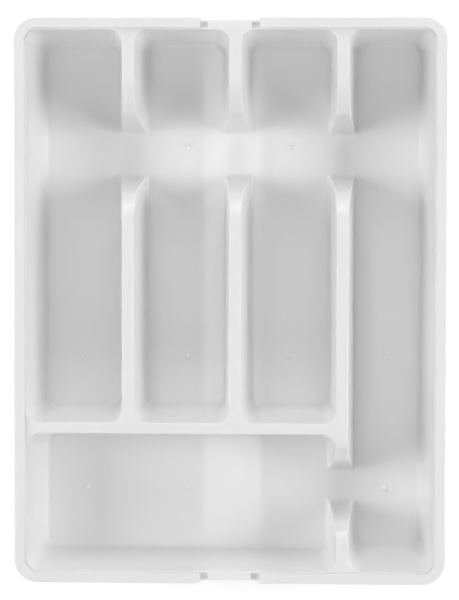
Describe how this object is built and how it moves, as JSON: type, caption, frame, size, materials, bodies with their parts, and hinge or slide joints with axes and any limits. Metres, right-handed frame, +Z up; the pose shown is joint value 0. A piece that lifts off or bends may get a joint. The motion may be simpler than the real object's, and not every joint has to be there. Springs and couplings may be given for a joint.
{
  "type": "drawer organizer insert",
  "caption": "Expandable drawer organizer insert: divided centre tray between two sections that slide out sideways under and around it.",
  "frame": {"origin": "on the drawer floor, under the middle of the closed insert", "axes": "+X right, the way the right section slides out; +Y back, towards the short dividers; +Z up"},
  "size_m": [0.29, 0.38, 0.065],
  "materials": {
    "tray_plastic": "satin white polypropylene",
    "section_plastic": "satin white polypropylene"
  },
  "bodies": {
    "centre_tray": {"centre_tray": "tray_plastic"},
    "left_section": {"left_section": "section_plastic"},
    "right_section": {"right_section": "section_plastic"}
  },
  "joints": [
    {"name": "left_slide", "type": "slide", "parent": "centre_tray", "child": "left_section", "axis": [-1, 0, 0], "range_m": [0, 0.105]},
    {"name": "right_slide", "type": "slide", "parent": "centre_tray", "child": "right_section", "axis": [1, 0, 0], "range_m": [0, 0.105]}
  ]
}
